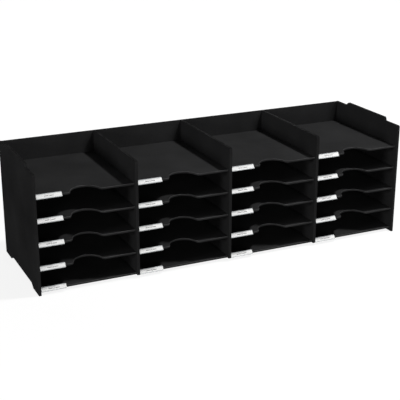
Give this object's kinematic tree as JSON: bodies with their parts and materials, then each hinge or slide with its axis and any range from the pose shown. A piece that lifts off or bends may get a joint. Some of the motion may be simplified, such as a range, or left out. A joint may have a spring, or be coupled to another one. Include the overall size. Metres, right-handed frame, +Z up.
{
  "type": "pigeonhole mail sorter",
  "caption": "Wide black plastic desk sorter: columns of open-fronted pigeonholes with finger-notched shelves, slide-in label cards on the shelf fronts and tongues for stacking.",
  "frame": {"origin": "on the floor, under the middle of the sorter's outline", "axes": "+X along the front to the right as one faces it, +Y from the open front to the back, +Z up"},
  "size_m": [1.112, 0.338, 0.343],
  "materials": {
    "black_plastic": "fine moulded satin grain",
    "clear_plastic": "clear and smooth",
    "label_card": "smooth white card"
  },
  "bodies": {
    "sorter": {"side_panel_left": "black_plastic", "side_panel_right": "black_plastic", "back_panel": "black_plastic", "divider_1": "black_plastic", "divider_2": "black_plastic", "divider_3": "black_plastic", "base_column1": "black_plastic", "shelf_column1_level2": "black_plastic", "shelf_column1_level3": "black_plastic", "shelf_column1_level4": "black_plastic", "shelf_column1_level5": "black_plastic", "base_column2": "black_plastic", "shelf_column2_level2": "black_plastic", "shelf_column2_level3": "black_plastic", "shelf_column2_level4": "black_plastic", "shelf_column2_level5": "black_plastic", "base_column3": "black_plastic", "shelf_column3_level2": "black_plastic", "shelf_column3_level3": "black_plastic", "shelf_column3_level4": "black_plastic", "shelf_column3_level5": "black_plastic", "base_column4": "black_plastic", "shelf_column4_level2": "black_plastic", "shelf_column4_level3": "black_plastic", "shelf_column4_level4": "black_plastic", "shelf_column4_level5": "black_plastic", "label_holders_column1": "clear_plastic", "label_holders_column2": "clear_plastic", "label_holders_column3": "clear_plastic", "label_holders_column4": "clear_plastic"},
    "card_column1_level1": {"label_card_column1_level1": "label_card"},
    "card_column1_level2": {"label_card_column1_level2": "label_card"},
    "card_column1_level3": {"label_card_column1_level3": "label_card"},
    "card_column1_level4": {"label_card_column1_level4": "label_card"},
    "card_column1_level5": {"label_card_column1_level5": "label_card"},
    "card_column2_level1": {"label_card_column2_level1": "label_card"},
    "card_column2_level2": {"label_card_column2_level2": "label_card"},
    "card_column2_level3": {"label_card_column2_level3": "label_card"},
    "card_column2_level4": {"label_card_column2_level4": "label_card"},
    "card_column2_level5": {"label_card_column2_level5": "label_card"},
    "card_column3_level1": {"label_card_column3_level1": "label_card"},
    "card_column3_level2": {"label_card_column3_level2": "label_card"},
    "card_column3_level3": {"label_card_column3_level3": "label_card"},
    "card_column3_level4": {"label_card_column3_level4": "label_card"},
    "card_column3_level5": {"label_card_column3_level5": "label_card"},
    "card_column4_level1": {"label_card_column4_level1": "label_card"},
    "card_column4_level2": {"label_card_column4_level2": "label_card"},
    "card_column4_level3": {"label_card_column4_level3": "label_card"},
    "card_column4_level4": {"label_card_column4_level4": "label_card"},
    "card_column4_level5": {"label_card_column4_level5": "label_card"}
  },
  "joints": [
    {"name": "card_column1_level1_slide", "type": "slide", "parent": "sorter", "child": "card_column1_level1", "axis": [1, 0, 0], "range_m": [0, 0.067]},
    {"name": "card_column1_level2_slide", "type": "slide", "parent": "sorter", "child": "card_column1_level2", "axis": [1, 0, 0], "range_m": [0, 0.067]},
    {"name": "card_column1_level3_slide", "type": "slide", "parent": "sorter", "child": "card_column1_level3", "axis": [1, 0, 0], "range_m": [0, 0.067]},
    {"name": "card_column1_level4_slide", "type": "slide", "parent": "sorter", "child": "card_column1_level4", "axis": [1, 0, 0], "range_m": [0, 0.067]},
    {"name": "card_column1_level5_slide", "type": "slide", "parent": "sorter", "child": "card_column1_level5", "axis": [1, 0, 0], "range_m": [0, 0.067]},
    {"name": "card_column2_level1_slide", "type": "slide", "parent": "sorter", "child": "card_column2_level1", "axis": [1, 0, 0], "range_m": [0, 0.067]},
    {"name": "card_column2_level2_slide", "type": "slide", "parent": "sorter", "child": "card_column2_level2", "axis": [1, 0, 0], "range_m": [0, 0.067]},
    {"name": "card_column2_level3_slide", "type": "slide", "parent": "sorter", "child": "card_column2_level3", "axis": [1, 0, 0], "range_m": [0, 0.067]},
    {"name": "card_column2_level4_slide", "type": "slide", "parent": "sorter", "child": "card_column2_level4", "axis": [1, 0, 0], "range_m": [0, 0.067]},
    {"name": "card_column2_level5_slide", "type": "slide", "parent": "sorter", "child": "card_column2_level5", "axis": [1, 0, 0], "range_m": [0, 0.067]},
    {"name": "card_column3_level1_slide", "type": "slide", "parent": "sorter", "child": "card_column3_level1", "axis": [1, 0, 0], "range_m": [0, 0.067]},
    {"name": "card_column3_level2_slide", "type": "slide", "parent": "sorter", "child": "card_column3_level2", "axis": [1, 0, 0], "range_m": [0, 0.067]},
    {"name": "card_column3_level3_slide", "type": "slide", "parent": "sorter", "child": "card_column3_level3", "axis": [1, 0, 0], "range_m": [0, 0.067]},
    {"name": "card_column3_level4_slide", "type": "slide", "parent": "sorter", "child": "card_column3_level4", "axis": [1, 0, 0], "range_m": [0, 0.067]},
    {"name": "card_column3_level5_slide", "type": "slide", "parent": "sorter", "child": "card_column3_level5", "axis": [1, 0, 0], "range_m": [0, 0.067]},
    {"name": "card_column4_level1_slide", "type": "slide", "parent": "sorter", "child": "card_column4_level1", "axis": [1, 0, 0], "range_m": [0, 0.067]},
    {"name": "card_column4_level2_slide", "type": "slide", "parent": "sorter", "child": "card_column4_level2", "axis": [1, 0, 0], "range_m": [0, 0.067]},
    {"name": "card_column4_level3_slide", "type": "slide", "parent": "sorter", "child": "card_column4_level3", "axis": [1, 0, 0], "range_m": [0, 0.067]},
    {"name": "card_column4_level4_slide", "type": "slide", "parent": "sorter", "child": "card_column4_level4", "axis": [1, 0, 0], "range_m": [0, 0.067]},
    {"name": "card_column4_level5_slide", "type": "slide", "parent": "sorter", "child": "card_column4_level5", "axis": [1, 0, 0], "range_m": [0, 0.067]}
  ]
}
